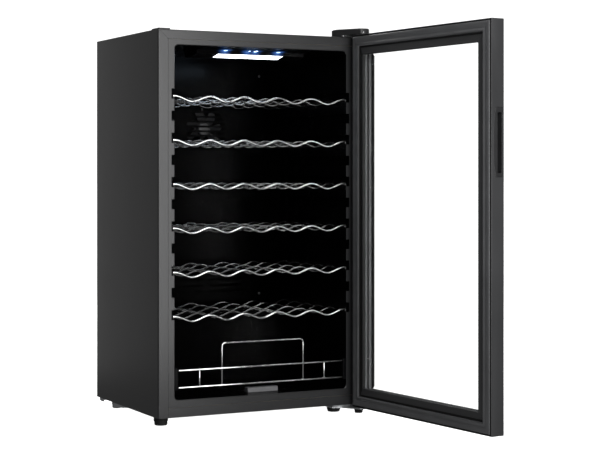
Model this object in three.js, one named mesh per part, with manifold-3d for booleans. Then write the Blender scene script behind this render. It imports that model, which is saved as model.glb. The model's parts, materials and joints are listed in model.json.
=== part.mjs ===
// Wine cooler: a tall compressor-cooled cabinet with a full-height glass door that stands open,
// six sliding wire shelves, a wire bottle guard, and its cooling parts in a bay at the lower rear.
// Millimetres, +Z up. The cabinet is drawn with its left side at x = 0, its front face at y = 0
// (+y goes to the rear) and its underside at z = 0; at the end the whole is moved so that the
// origin is the bottom centre of its bounding box.
import * as THREE from 'three';
import { mergeVertices } from 'three/addons/utils/BufferGeometryUtils.js';
import Module from 'manifold-3d';

const wasm = await Module();
wasm.setup();

// ---- driving dimensions ------------------------------------------------------------------
const W = 480, D = 373, H = 807;            // steel cabinet
const SHEET = 1.2;                          // steel sheet
const GAP = 0.3;                            // clearance between touching pieces
const FLOOR = -17.5;                        // the surface that the feet stand on
const FLANGE = 22.4;                        // steel front flange at each side
const TOP_BAND = 19.6, BOTTOM_BAND = 20.2;  // steel front bands above and below
const SIDE = 37.1;                          // side panel to cavity
const CAV_LOW = 36, CAV_HIGH = 775.4;       // cavity floor and ceiling
const CAV_BACK = 330;                       // cavity rear wall
const STEP_Y = 191, STEP_Z = 196;           // the step in the cavity over the compressor bay
const LINER = 1.8;                          // liner wall
const BAY_Y = 227, BAY_Z = 160;             // front and roof of the compressor bay
const RAIL_PITCH = 46, RAIL_COUNT = 11;     // shelf grooves
const RAIL_TOP = 673.8;                     // centre of the top groove
const RAIL_HALF = 10.6, RAIL_DEEP = 7.4, RAIL_LENGTH = 303;
const HINGE = { x: 469.3, y: -23.5 };       // door axis
const DOOR_OPEN = 95.3;                     // degrees open as stored
const DOOR = { back: -4.4, front: -37.1, low: -2.6, high: 809.8, stile: 40.3, rail: 44 };

// ---- helpers -----------------------------------------------------------------------------
// A closed geometry as a solid that can be joined and cut.
function solid(geometry) {
  const bare = geometry.clone();
  bare.deleteAttribute('normal');
  bare.deleteAttribute('uv');
  const merged = mergeVertices(bare, 1e-4);
  const index = merged.index.array;
  const kept = [];
  for (let i = 0; i < index.length; i += 3) {
    const [a, b, c] = [index[i], index[i + 1], index[i + 2]];
    if (a !== b && b !== c && c !== a) kept.push(a, b, c);
  }
  return new wasm.Manifold(new wasm.Mesh({
    numProp: 3,
    vertProperties: new Float32Array(merged.attributes.position.array),
    triVerts: new Uint32Array(kept),
  }));
}

const join = (...parts) => parts.flat().reduce((a, b) => a.add(b));
const cut = (body, ...tools) => tools.flat().reduce((a, b) => a.subtract(b), body);

function box(x0, x1, y0, y1, z0, z1) {
  const g = new THREE.BoxGeometry(x1 - x0, y1 - y0, z1 - z0);
  g.translate((x0 + x1) / 2, (y0 + y1) / 2, (z0 + z1) / 2);
  return solid(g);
}

// A flat outline pushed along an axis. Points are (x, y) for z, (x, z) for y and (y, z) for x.
function prism(points, axis, from, to) {
  const shape = new THREE.Shape(points.map((p) => new THREE.Vector2(...p)));
  const g = new THREE.ExtrudeGeometry(shape, { depth: to - from, bevelEnabled: false });
  if (axis === 'z') g.translate(0, 0, from);
  if (axis === 'y') g.rotateX(Math.PI / 2).translate(0, to, 0);
  if (axis === 'x') {
    const basis = new THREE.Matrix4().makeBasis(
      new THREE.Vector3(0, 1, 0), new THREE.Vector3(0, 0, 1), new THREE.Vector3(1, 0, 0));
    g.applyMatrix4(basis).translate(from, 0, 0);
  }
  return solid(g);
}

// A rectangle with rounded corners.
function rounded(u0, u1, v0, v1, r, steps = 3) {
  const points = [];
  const corners = [[u1 - r, v1 - r, 0], [u0 + r, v1 - r, 1], [u0 + r, v0 + r, 2], [u1 - r, v0 + r, 3]];
  for (const [u, v, quarter] of corners) {
    for (let i = 0; i <= steps; i++) {
      const a = (quarter + i / steps) * Math.PI / 2;
      points.push([u + r * Math.cos(a), v + r * Math.sin(a)]);
    }
  }
  return points;
}

// A round bar or cone along z or y around the point `at`.
function round(axis, at, from, to, r0, r1 = r0, sides = 24) {
  const g = new THREE.CylinderGeometry(r1, r0, to - from, sides);
  if (axis === 'z') g.rotateX(Math.PI / 2).translate(at[0], at[1], (from + to) / 2);
  if (axis === 'y') g.translate(at[0], (from + to) / 2, at[1]);
  return solid(g);
}

// A turned body about a vertical axis through (x, y); the profile is [radius, height] pairs.
function turned(profile, x, y, sides = 24) {
  const g = new THREE.LatheGeometry(profile.map((p) => new THREE.Vector2(...p)), sides);
  g.rotateX(Math.PI / 2).translate(x, y, 0);
  return solid(g);
}

// A path through given points that keeps each of them as a station of the sweep.
class Polyline extends THREE.Curve {
  constructor(points) {
    super();
    this.points = points.map((p) => new THREE.Vector3(...p));
  }
  getPoint(t, target = new THREE.Vector3()) {
    const f = t * (this.points.length - 1);
    const i = Math.min(Math.floor(f), this.points.length - 2);
    return target.lerpVectors(this.points[i], this.points[i + 1], f - i);
  }
  getTangent(t, target = new THREE.Vector3()) {
    const i = Math.round(t * (this.points.length - 1));
    const way = (j) => this.points[j + 1].clone().sub(this.points[j]).normalize();
    if (i > 0) target.copy(way(i - 1));
    else target.set(0, 0, 0);
    if (i < this.points.length - 1) target.add(way(i));
    return target.normalize();
  }
  getUtoTmapping(u) {
    return u;
  }
}

// A wire or pipe of few sides along a path.
function wire(points, radius, sides = 6) {
  const ring = [];
  for (let i = 0; i < sides; i++) {
    const a = (i + 0.5) * 2 * Math.PI / sides;
    ring.push(new THREE.Vector2(radius * Math.cos(a), radius * Math.sin(a)));
  }
  return solid(new THREE.ExtrudeGeometry(new THREE.Shape(ring), {
    steps: points.length - 1, extrudePath: new Polyline(points), bevelEnabled: false,
  }));
}

// Points of a bend of radius r that replaces each inner corner of a path.
function bent(points, r, steps = 3) {
  const out = [points[0]];
  for (let i = 1; i < points.length - 1; i++) {
    const p = new THREE.Vector3(...points[i]);
    const a = new THREE.Vector3(...points[i - 1]).sub(p).normalize();
    const b = new THREE.Vector3(...points[i + 1]).sub(p).normalize();
    const start = p.clone().addScaledVector(a, r), end = p.clone().addScaledVector(b, r);
    const curve = new THREE.QuadraticBezierCurve3(start, p, end);
    for (let k = 0; k <= steps; k++) out.push(curve.getPoint(k / steps).toArray());
  }
  out.push(points[points.length - 1]);
  return out;
}

const paint = (color, roughness, metalness = 0) =>
  new THREE.MeshStandardMaterial({ color, roughness, metalness });
const looks = {
  steel: paint(0x38393b, 0.42, 0.3),
  liner: paint(0x151517, 0.35),
  plastic: paint(0x141415, 0.5),
  frame: paint(0x3a3b3d, 0.45),
  gasket: paint(0x4a4b4d, 0.6),
  chrome: paint(0xd6d8da, 0.18, 1),
  zinc: paint(0x8d9297, 0.5, 0.8),
  foam: paint(0xe0cf9c, 0.9),
  copper: paint(0xb87545, 0.3, 1),
  black: paint(0x1c1c1e, 0.4, 0.2),
  rubber: paint(0x101010, 0.8),
  alu: paint(0xb9bcc0, 0.4, 1),
  lamp: paint(0xf4f8ff, 0.3),
  display: paint(0x0b0f16, 0.15),
  key: paint(0xbfd4ee, 0.35),
};
const glass = new THREE.MeshStandardMaterial({
  color: 0xdfe9e8, roughness: 0.05, metalness: 0, transparent: true, opacity: 0.25,
});

const cabinet = new THREE.Group();
const door = new THREE.Group();
const pieces = new THREE.Group();
pieces.add(cabinet, door);

function place(group, name, body, material) {
  const { vertProperties, triVerts } = body.getMesh();
  const g = new THREE.BufferGeometry();
  g.setAttribute('position', new THREE.BufferAttribute(new Float32Array(vertProperties), 3));
  g.setIndex(new THREE.BufferAttribute(new Uint32Array(triVerts), 1));
  g.computeVertexNormals();
  const mesh = new THREE.Mesh(g, material);
  mesh.name = name;
  group.add(mesh);
}
const add = (name, body, look) => place(cabinet, name, body, looks[look]);

// ---- steel cabinet -----------------------------------------------------------------------
// A block with its two front uprights and its front top edge rounded.
function cabinetBlock(inset, r, low, high) {
  const plan = [[inset, D + inset]];
  const arc = (cx, cy, a0) => {
    for (let i = 0; i <= 3; i++) {
      const a = a0 + i * Math.PI / 6;
      plan.push([cx + r * Math.cos(a), cy + r * Math.sin(a)]);
    }
  };
  arc(inset + r, inset + r, Math.PI);
  arc(W - inset - r, inset + r, 1.5 * Math.PI);
  plan.push([W - inset, D + inset]);
  const side = [[inset, low], [D + inset, low], [D + inset, high]];
  for (let i = 0; i <= 3; i++) {
    const a = Math.PI / 2 + i * Math.PI / 6;
    side.push([inset + r + r * Math.cos(a), high - r + r * Math.sin(a)]);
  }
  return prism(plan, 'z', low, high).intersect(prism(side, 'x', 0, W));
}

// The fine mitre line where the top flange meets each side flange.
function mitre(sign) {
  const length = Math.hypot(FLANGE, TOP_BAND);
  const g = new THREE.BoxGeometry(length + 2, 0.7, 1.2);
  g.rotateY(sign * Math.atan2(TOP_BAND, FLANGE));
  g.translate(sign > 0 ? FLANGE / 2 : W - FLANGE / 2, 0, H - TOP_BAND / 2);
  return solid(g);
}

add('outer_shell', cut(
  cabinetBlock(0, 3, 0, H),
  cabinetBlock(SHEET, 2, -1, H - SHEET),
  box(-1, W + 1, D, D + 5, -1, H + 1),
  box(FLANGE, W - FLANGE, -1, 3, -1, H - TOP_BAND),
  mitre(1), mitre(-1),
), 'steel');

add('bottom_panel', join(
  box(FLANGE + GAP, W - FLANGE - GAP, 0, SHEET, 0, BOTTOM_BAND),
  box(FLANGE + GAP, W - FLANGE - GAP, 0, BAY_Y, 0, SHEET),
  box(SHEET + GAP, W - SHEET - GAP, 3.5, BAY_Y, 0, SHEET),
), 'steel');

add('back_panel', join(
  box(SHEET + GAP, W - SHEET - GAP, D - 1.4, D - 0.4, BAY_Z, H - SHEET - GAP),
  [-1, 0, 1].map((k) => box(W / 2 + k * 130 - 22, W / 2 + k * 130 + 22, D - 1, D + 1.6, 230, 740)),
), 'zinc');

// ---- insulation, in slabs round the cavity ------------------------------------------------
const INNER = SHEET + GAP;
const FOAM_FRONT = LINER + 2 * GAP;
const FOAM_BACK = D - 1.7;
const WALL = SIDE - LINER - GAP;                       // inner face of the side slabs
const railZ = (i) => RAIL_TOP - i * RAIL_PITCH;
const rails = [...Array(RAIL_COUNT).keys()];

function railBoxes(side, grow) {
  return rails.map((i) => {
    const deep = SIDE - RAIL_DEEP - grow, z = railZ(i), half = RAIL_HALF + grow;
    const x = side < 0 ? [deep, SIDE + 1] : [W - SIDE - 1, W - deep];
    return box(x[0], x[1], -1, RAIL_LENGTH + grow, z - half, z + half);
  });
}

function sideSlab(x0, x1, side) {
  return cut(
    box(x0, x1, FOAM_FRONT, FOAM_BACK, SHEET + GAP, H - INNER),
    box(x0 - 1, x1 + 1, BAY_Y, D, -1, BAY_Z + GAP),
    railBoxes(side, LINER + GAP),
  );
}
add('foam_left', sideSlab(INNER, WALL, -1), 'foam');
add('foam_right', sideSlab(W - WALL, W - INNER, 1), 'foam');
const [IN0, IN1] = [WALL + GAP, W - WALL - GAP];
add('foam_top', box(IN0, IN1, FOAM_FRONT, FOAM_BACK, CAV_HIGH + LINER + GAP, H - INNER), 'foam');
add('foam_bottom', box(IN0, IN1, FOAM_FRONT, BAY_Y, SHEET + GAP, CAV_LOW - LINER - GAP), 'foam');
add('foam_step_front', box(IN0, IN1, STEP_Y + LINER + GAP, BAY_Y, CAV_LOW - LINER,
  STEP_Z - LINER - GAP), 'foam');
add('foam_step_top', box(IN0, IN1, BAY_Y + GAP, FOAM_BACK, BAY_Z + GAP,
  STEP_Z - LINER - GAP), 'foam');
add('foam_back', box(IN0, IN1, CAV_BACK + LINER + GAP, FOAM_BACK, STEP_Z - LINER,
  CAV_HIGH + LINER), 'foam');

// ---- liner: a moulded tub with a front flange, shelf grooves and a step ----------------------
function cavity(grow) {
  return cut(
    prism(rounded(SIDE - grow, W - SIDE + grow, CAV_LOW - grow, CAV_HIGH + grow, 9 + grow),
      'y', grow ? 0 : -2, CAV_BACK + grow),
    box(0, W, STEP_Y + grow, D, -5, STEP_Z - grow),
  );
}

// The eased front edge of the cavity.
function easing(deep) {
  const outline = rounded(SIDE, W - SIDE, CAV_LOW, CAV_HIGH, 9);
  const shape = new THREE.Shape(outline.map((p) => new THREE.Vector2(...p)));
  const g = new THREE.ExtrudeGeometry(shape, { depth: deep + 1, bevelEnabled: false });
  g.rotateX(Math.PI / 2).translate(0, deep, 0);
  const p = g.attributes.position;
  for (let i = 0; i < p.count; i++) {
    if (p.getY(i) > 0) continue;
    p.setX(i, p.getX(i) + Math.sign(p.getX(i) - W / 2) * (deep + 1));
    p.setZ(i, p.getZ(i) + Math.sign(p.getZ(i) - H / 2) * (deep + 1));
  }
  return solid(g);
}

add('inner_liner', cut(
  join(
    cavity(LINER),
    box(FLANGE + GAP, W - FLANGE - GAP, 0, LINER, BOTTOM_BAND + GAP, H - TOP_BAND - GAP),
    [-1, 1].flatMap((s) => railBoxes(s, LINER)).map((b) => b.intersect(box(0, W, 0.5, D, 0, H))),
  ),
  cavity(0),
  easing(1.4),
  [-1, 1].flatMap((s) => railBoxes(s, 0)),
), 'liner');

// ---- rear duct: cover with grilles, evaporator plate and fan ---------------------------------
const FAN = { x: W / 2, z: 610, r: 50 };
const fanSlots = [-4, -3, -2, -1, 0, 1, 2, 3, 4].map((k) =>
  box(FAN.x - 60, FAN.x + 60, 300, 312, FAN.z + k * 11 - 3.2, FAN.z + k * 11 + 3.2)
    .intersect(round('y', [FAN.x, FAN.z], 300, 312, FAN.r, FAN.r, 28)));
const airSlots = [];
for (let row = 0; row < 5; row++) {
  for (const x of [150, 246]) airSlots.push(box(x, x + 84, 300, 312, 232 + row * 14, 238 + row * 14));
}
add('duct_cover', cut(
  prism([[92, 212], [388, 212], [388, 742], [370, 760], [110, 760], [92, 742]], 'y', 306,
    CAV_BACK - GAP),
  box(94.5, 385.5, 308.5, 340, 214.5, 740),
  fanSlots, airSlots,
), 'liner');
add('evaporator', join(
  box(130, 350, 325.5, 328.5, 322, 540),
  [...Array(10).keys()].map((i) => box(136, 344, 315, 326, 330 + i * 21, 333 + i * 21)),
), 'alu');
add('fan_motor', join(
  round('y', [FAN.x, FAN.z], 323.5, 329.4, 20, 20, 20),
  [0, 1, 2].map((k) => {
    const a = Math.PI / 2 + k * 2 * Math.PI / 3;
    return wire([[FAN.x, 327, FAN.z],
      [FAN.x + 52 * Math.cos(a), 327, FAN.z + 52 * Math.sin(a)]], 2.5, 4);
  }),
), 'black');

const blade = (k) => {
  const g = new THREE.BoxGeometry(30, 1.6, 17);
  g.rotateX(0.6).translate(29, 0, 0).rotateY(-k * 2 * Math.PI / 7).translate(FAN.x, 317, FAN.z);
  return solid(g);
};
add('fan_rotor', join(
  round('y', [FAN.x, FAN.z], 311, 323, 17, 17, 20),
  [...Array(7).keys()].map(blade),
), 'plastic');

// ---- control strip under the cavity ceiling ---------------------------------------------------
const CEIL = CAV_HIGH - GAP;
const SLOPE = Math.atan2(3.9, 36);                   // the face that carries the keys

// A block standing on the sloped face: t runs down the slope, n out of it.
function slopeBox(x0, x1, t0, t1, n0, n1) {
  const g = new THREE.BoxGeometry(x1 - x0, t1 - t0, n1 - n0);
  g.translate((x0 + x1) / 2, (t0 + t1) / 2, -(n0 + n1) / 2);
  g.rotateX(-SLOPE).translate(0, 24, CEIL);
  return solid(g);
}
function slopeRound(x, t, n0, n1, r, sides) {
  const g = new THREE.CylinderGeometry(r, r, n1 - n0, sides);
  g.rotateX(Math.PI / 2).translate(x, t, -(n0 + n1) / 2);
  g.rotateX(-SLOPE).translate(0, 24, CEIL);
  return solid(g);
}
const KEY_T = 30, KEYS = { left: W / 2 - 63, right: W / 2 + 63 };
add('control_strip', cut(
  prism([[24, CEIL], [60, CEIL - 3.9], [60, 764.2], [88, 758.6], [122, 758.6], [134, CEIL]],
    'x', 112, 368),
  prism([[61, 750], [88, 750], [88, 767.5], [61, 767.5]], 'x', 162.2, 317.2),
  slopeBox(W / 2 - 18.3, W / 2 + 18.3, KEY_T - 6.3, KEY_T + 6.3, -2, 2),
  Object.values(KEYS).map((x) => slopeRound(x, KEY_T, -2.4, 3, 5.1, 20)),
), 'plastic');
add('lamp_lens', prism([[61.3, 763.6], [87.7, 758.3], [87.7, 767.2], [61.3, 767.2]],
  'x', 162.5, 316.9), 'lamp');
add('display_window', slopeBox(W / 2 - 18, W / 2 + 18, KEY_T - 6, KEY_T + 6, -1.7, -0.2), 'display');
for (const [side, x] of Object.entries(KEYS)) {
  add(`key_${side}`, slopeRound(x, KEY_T, -1.3, 0.9, 4.6, 20), 'key');
}

// ---- small fittings in the cavity --------------------------------------------------------------
add('floor_stop', prism([[33, CAV_LOW + GAP], [51, CAV_LOW + GAP], [49, 46.5], [35, 46.5]],
  'x', 220, 292), 'gasket');

const GUARD = { y: 3, x: 243, low: 61, high: 96.8, loop: 149.5, wire: 2.4 };
const guardPost = (dx, top) => wire([[GUARD.x + dx, GUARD.y + 3.5, GUARD.low - 1],
  [GUARD.x + dx, GUARD.y + 3.5, top]], GUARD.wire);
add('bottom_guard', join(
  wire([[45.5, GUARD.y, GUARD.low], [W - 45.5, GUARD.y, GUARD.low]], GUARD.wire),
  wire([[45.5, GUARD.y, GUARD.high], [W - 45.5, GUARD.y, GUARD.high]], GUARD.wire),
  guardPost(-147.4, GUARD.high + 1), guardPost(147.4, GUARD.high + 1),
  wire(bent([[GUARD.x - 96.1, GUARD.y + 3.5, GUARD.low - 1],
    [GUARD.x - 96.1, GUARD.y + 3.5, GUARD.loop], [GUARD.x + 96.1, GUARD.y + 3.5, GUARD.loop],
    [GUARD.x + 96.1, GUARD.y + 3.5, GUARD.low - 1]], 9), GUARD.wire),
), 'chrome');
add('guard_clip_left', box(SIDE + GAP, 45.2, 0.5, 12, 56, 102), 'liner');
add('guard_clip_right', box(W - 45.2, W - SIDE - GAP, 0.5, 12, 56, 102), 'liner');

// ---- six wire shelves ---------------------------------------------------------------------------
// Waved cross wires, one cradle for each bottle, welded on two runners and one middle rod.
const SHELF = { runner: 36, pitch: 80, wave: 11, wires: 6, front: 6, back: 298 };
function shelf(groove) {
  const rodZ = railZ(groove) - RAIL_HALF + 2.5 + GAP;
  const crest = rodZ + 3.4;
  const rod = (x, r, end) => wire([[x, end, rodZ], [x, 300, rodZ]], r);
  const wave = (y) => {
    const points = [[SHELF.runner, y, crest]];
    for (let i = 0; i <= 20; i++) {
      const x = 40 + i * SHELF.pitch / 4;
      const phase = 2 * Math.PI * (x - 40) / SHELF.pitch;
      points.push([x, y, crest - SHELF.wave * (1 - Math.cos(phase)) / 2]);
    }
    points.push([W - SHELF.runner, y, crest]);
    return wire(points, 2.2, 4);
  };
  const step = (SHELF.back - SHELF.front) / (SHELF.wires - 1);
  return join(
    rod(SHELF.runner, 2.5, 3.5), rod(W - SHELF.runner, 2.5, 3.5), rod(200, 2.3, 2.5),
    [...Array(SHELF.wires).keys()].map((i) => wave(SHELF.front + i * step)),
  );
}
for (let i = 0; i < 6; i++) add(`shelf_${i + 1}`, shelf(2 * i), 'chrome');

// ---- compressor bay -------------------------------------------------------------------------------
add('bay_panel', join(
  box(INNER, W - INNER, BAY_Y + GAP, BAY_Y + 1.3, 1.5, BAY_Z),
  box(INNER, W - INNER, BAY_Y + GAP, D - 1.7, BAY_Z - 1, BAY_Z),
), 'zinc');

const gusset = (x) => prism([[200, -2.3], [290, -2.3], [290, -14.5], [200, -4]], 'x', x, x + 2);
add('base_plate', join(
  box(6, W - 6, 198, D - 2, -2.3, -GAP),
  box(6, W - 6, D - 4, D - 2, -9, -GAP),
  box(6, 8, D - 26, D - 2, -9, -GAP), box(W - 8, W - 6, D - 26, D - 2, -9, -GAP),
  gusset(8), gusset(W - 10),
), 'zinc');

const COMP = { x: 300, y: 298 };
const body = new THREE.LatheGeometry([[0, 14], [50, 14], [60, 22], [62, 40], [62, 78], [64, 80],
  [64, 86], [62, 88], [61, 106], [53, 126], [34, 137], [0, 140]].map((p) => new THREE.Vector2(...p)), 28);
body.rotateX(Math.PI / 2).scale(1.32, 1, 1).translate(COMP.x, COMP.y, 0);
add('compressor', join(
  solid(body),
  box(COMP.x - 98, COMP.x + 98, COMP.y - 52, COMP.y + 52, 12, 15),
), 'black');
let n = 1;
for (const dy of [-42, 42]) {
  for (const dx of [-86, 86]) {
    add(`grommet_${n++}`, turned([[0, 0], [11, 0], [11, 4], [8, 6], [11, 8], [11, 11.7], [0, 11.7]],
      COMP.x + dx, COMP.y + dy, 16), 'rubber');
  }
}
add('terminal_box', prism([[268, 34], [328, 34], [328, 84], [318, 94], [278, 94], [268, 84]],
  'x', 176, 211), 'plastic');
add('evaporation_tray', cut(
  box(228, 372, 246, 350, 141, 151), box(230, 370, 248, 348, 143, 160)), 'plastic');
add('drier_and_pipe', join(
  turned([[0, 30], [3, 30], [3, 40], [9.5, 48], [9.5, 120], [3, 130], [3, 138], [0, 138]],
    118, 316, 16),
  wire(bent([[118, 316, 34], [118, 316, 14], [148, 352, 14], [240, 362.4, 14], [252, 362.4, 60]],
    7, 3), 2.6),
), 'copper');
add('suction_pipe', wire(bent([[395, 300, 60], [424, 300, 60], [424, 300, 120], [424, 250, 140],
  [424, 250, 158]], 10, 3), 3.6), 'copper');
add('mains_inlet', join(
  box(446, 472, D - 18, D - 3, GAP, 34), round('y', [459, 18], D - 4, D + 2.5, 9, 9, 16)), 'plastic');

// ---- feet -------------------------------------------------------------------------------------------
const foot = (x, y, top, r) => turned([[0, FLOOR], [r * 0.76, FLOOR], [r * 0.86, FLOOR + 2.4],
  [r, top], [0, top]], x, y, 20);
const FEET = { left: [18, 30], right: [428, 32] };
add('foot_front_left', foot(...FEET.left, -GAP, 16), 'rubber');
add('foot_front_right', foot(...FEET.right, -7, 16), 'rubber');
add('foot_hinge', foot(467, -12, -7, 10.5), 'rubber');
add('foot_rear_left', foot(22, 302, -2.6, 12), 'rubber');
add('foot_rear_right', foot(W - 22, 302, -2.6, 12), 'rubber');

// ---- hinges -------------------------------------------------------------------------------------------
const axisPin = (low, high, r) => round('z', [HINGE.x, HINGE.y], low, high, r, r, 24);
add('upper_hinge', join(
  prism([[430, 34], [430, 14], [437, 3.5], [477, 3.5], [477, 34]], 'z', H + GAP, H + 7.2),
  prism([[430, 34], [430, 14], [457.5, -35], [461, -38], [474, -38], [477, -35], [477, 34]],
    'z', H + 4.2, H + 7.2),
  axisPin(DOOR.high - 9.5, H + 7.2, 3.5), axisPin(DOOR.high + GAP, H + 5, 6),
), 'zinc');
const hood = [[427, 37], [424, 34], [424, 14], [454, -38], [460, -41.5], [476, -41.5], [480, -37.5],
  [480, 37]];
const hoodInside = [[428, 35], [426, 33], [426, 14.6], [455.4, -36.6], [460.6, -39.5], [475.2, -39.5],
  [478, -36.7], [478, 35]];
const hoodTop = [[428.5, 35.5], [426, 33.2], [426, 14.7], [455.2, -36.7], [460.5, -39.9],
  [475.4, -39.9], [478.4, -36.9], [478.4, 35.5]];
add('upper_hinge_cover', cut(
  join(prism(hood, 'z', H + GAP, H + 15.2), prism(hoodTop, 'z', H + 14.8, H + 16.8)),
  prism(hoodInside, 'z', H - 1, H + 13.4),
  box(400, 500, -60, 0.4, H - 2, H + 4.4),
), 'plastic');
add('hinge_hole_cap', join(
  prism(rounded(1, 29, 2, 42, 3), 'z', H + GAP, H + 2),
  prism(rounded(2, 28, 3, 41, 2.5), 'z', H + 1.9, H + 2.8),
), 'plastic');
add('lower_hinge', join(
  prism([[410, 64], [410, 6], [432, 0], [453, -36], [459, -40], [475, -40], [478, -37], [478, 64]],
    'z', -6.7, -3.7),
  box(412, 478, 3, 64, -4.4, -GAP),
  axisPin(-4.4, DOOR.low + 9.5, 3.5), axisPin(-4.4, DOOR.low - GAP, 6),
), 'zinc');

// ---- door, drawn shut, then turned open about its axis ------------------------------------------------
const hang = (name, shape, look) => place(door, name, shape, look === 'glass' ? glass : looks[look]);
const { back: DB, front: DF, low: DL, high: DH, stile: DS, rail: DR } = DOOR;
const UNIT = { back: -9.9, front: -34.1, grip: 10 };      // the sealed glass unit
const CHANNEL = box(DS - UNIT.grip, W - DS + UNIT.grip, UNIT.front - GAP, UNIT.back + GAP,
  DL + DR - UNIT.grip, DH - DR + UNIT.grip);
const PIN_HOLES = [[DH - 10.5, DH + 1], [DL - 1, DL + 10.5]].map(([a, b]) => axisPin(a, b, 3.6));

// The handle cup in the free edge: straight in front, bowed towards the cabinet.
function cupOutline(grow) {
  const points = [[-32.3 - grow, 501 - grow]];
  for (let i = 0; i <= 10; i++) {
    const u = i / 5 - 1;
    points.push([-10.3 + grow - 6.2 * u ** 4, 569 + u * (68 + grow)]);
  }
  points.push([-32.3 - grow, 637 + grow]);
  return points;
}

const m = GAP / 2 + 0.02;                               // half of the mitre gap
hang('door_stile_hinge', cut(
  prism([[W, DL + m], [W, DH - m], [W - DS, DH - DR - m], [W - DS, DL + DR + m]], 'y', DF, DB),
  CHANNEL, PIN_HOLES,
), 'frame');
hang('door_stile_handle', cut(
  prism([[0, DH - m], [0, DL + m], [DS, DL + DR + m], [DS, DH - DR - m]], 'y', DF, DB),
  CHANNEL, prism(cupOutline(GAP), 'x', -1, 20.3),
), 'frame');
hang('door_rail_top', cut(
  prism([[m, DH], [DS + m, DH - DR], [W - DS - m, DH - DR], [W - m, DH]], 'y', DF, DB),
  CHANNEL, PIN_HOLES,
), 'frame');
hang('door_rail_bottom', cut(
  prism([[m, DL], [W - m, DL], [W - DS - m, DL + DR], [DS + m, DL + DR]], 'y', DF, DB),
  CHANNEL, PIN_HOLES,
), 'frame');

function pane(front, back, inset) {
  return box(DS - UNIT.grip + inset, W - DS + UNIT.grip - inset, front, back,
    DL + DR - UNIT.grip + inset, DH - DR + UNIT.grip - inset);
}
hang('door_glass_outer', pane(UNIT.front, UNIT.front + 4, GAP), 'glass');
hang('door_glass_inner', pane(UNIT.back - 4, UNIT.back, GAP), 'glass');
hang('glass_spacer', cut(pane(UNIT.front + 4.3, UNIT.back - 4.3, 1),
  box(DS - 1.5, W - DS + 1.5, -40, 0, DL + DR - 1.5, DH - DR + 1.5)), 'alu');

function sealRing(outer, inner, y0, y1) {
  return cut(box(outer, W - outer, y0, y1, DL + outer, DH - outer),
    box(inner, W - inner, y0 - 1, y1 + 1, DL + inner, DH - inner));
}
hang('door_gasket', join(
  sealRing(4.3, 25, DB + GAP, -3), sealRing(4.3, 15, -3.4, -1.8), sealRing(19, 25, -3.4, -1.4),
), 'gasket');

hang('handle_cup', cut(
  join(prism(cupOutline(0), 'x', 0, 20)),
  box(-1, 17, -31, -20.5, 509, 627), box(4, 17, -31, -14, 512, 624),
), 'plastic');

door.children.forEach((mesh) => mesh.geometry.translate(-HINGE.x, -HINGE.y, 0));
door.position.set(HINGE.x, HINGE.y, 0);
door.rotation.z = THREE.MathUtils.degToRad(DOOR_OPEN);

// ---- origin at the bottom centre of the whole -----------------------------------------------------------
pieces.updateMatrixWorld(true);
const bounds = new THREE.Box3().setFromObject(pieces, true);
const centre = bounds.getCenter(new THREE.Vector3());
pieces.position.set(-centre.x, -centre.y, -bounds.min.z);

const cooler = new THREE.Group();
cooler.add(pieces);
export default cooler;
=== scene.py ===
"""Wine cooler: its looks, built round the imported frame. Metres, +Z up, the door open as stored.

Shapes are written in cabinet millimetres: x from the cabinet's left side, y from its front face to the
rear, z from its underside. Door shapes are written as if the door were shut, and then turned open.
"""
import json
import math

import bmesh
import bpy
from mathutils import Matrix, Vector

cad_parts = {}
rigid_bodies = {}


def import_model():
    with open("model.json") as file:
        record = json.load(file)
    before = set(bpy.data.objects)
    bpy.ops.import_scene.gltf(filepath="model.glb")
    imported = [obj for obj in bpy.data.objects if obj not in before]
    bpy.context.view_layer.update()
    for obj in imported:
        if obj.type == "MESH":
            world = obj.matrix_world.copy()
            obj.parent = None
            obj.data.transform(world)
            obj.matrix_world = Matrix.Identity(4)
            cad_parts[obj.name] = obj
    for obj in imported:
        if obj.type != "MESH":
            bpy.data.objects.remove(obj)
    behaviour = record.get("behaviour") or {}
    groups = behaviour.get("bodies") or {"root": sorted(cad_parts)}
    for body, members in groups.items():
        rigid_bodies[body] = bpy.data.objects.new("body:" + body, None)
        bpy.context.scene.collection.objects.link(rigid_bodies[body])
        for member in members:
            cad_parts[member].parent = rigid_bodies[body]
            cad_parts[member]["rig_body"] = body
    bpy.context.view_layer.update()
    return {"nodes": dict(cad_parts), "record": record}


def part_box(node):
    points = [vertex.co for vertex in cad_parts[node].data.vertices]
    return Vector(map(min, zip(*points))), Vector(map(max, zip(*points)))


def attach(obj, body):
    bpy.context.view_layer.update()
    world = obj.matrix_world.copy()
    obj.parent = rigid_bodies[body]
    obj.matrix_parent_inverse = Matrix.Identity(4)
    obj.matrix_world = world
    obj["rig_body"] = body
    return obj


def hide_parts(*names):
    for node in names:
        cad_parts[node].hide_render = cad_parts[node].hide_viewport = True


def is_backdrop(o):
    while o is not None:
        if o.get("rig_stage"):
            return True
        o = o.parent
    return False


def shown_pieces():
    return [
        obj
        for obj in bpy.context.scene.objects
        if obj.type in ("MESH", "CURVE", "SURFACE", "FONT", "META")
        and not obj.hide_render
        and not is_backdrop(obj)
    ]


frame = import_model()

W, D = 480.0, 373.0
MIDDLE = W / 2
FLOOR = -17.5
HINGE = (469.3, -23.5)
DOOR_OPEN = math.radians(95.3)
DOOR_BACK, DOOR_FRONT, DOOR_LOW, DOOR_HIGH = -4.4, -37.1, -2.6, 809.8
STILE, RAIL = 40.3, 44.0
SLOPE, SLOPE_START = math.atan2(3.9, 36), (24.0, 775.1)   # the control strip's face, from its front edge
KEY_T, KEY_X, DIGIT_X = 30.0, 63.0, 9.0

LINER_SPLIT = 1.45        # the flange is painted in front of this y, and the tub is glossy behind it
WHITE = (1, 1, 1, 1)

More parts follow.
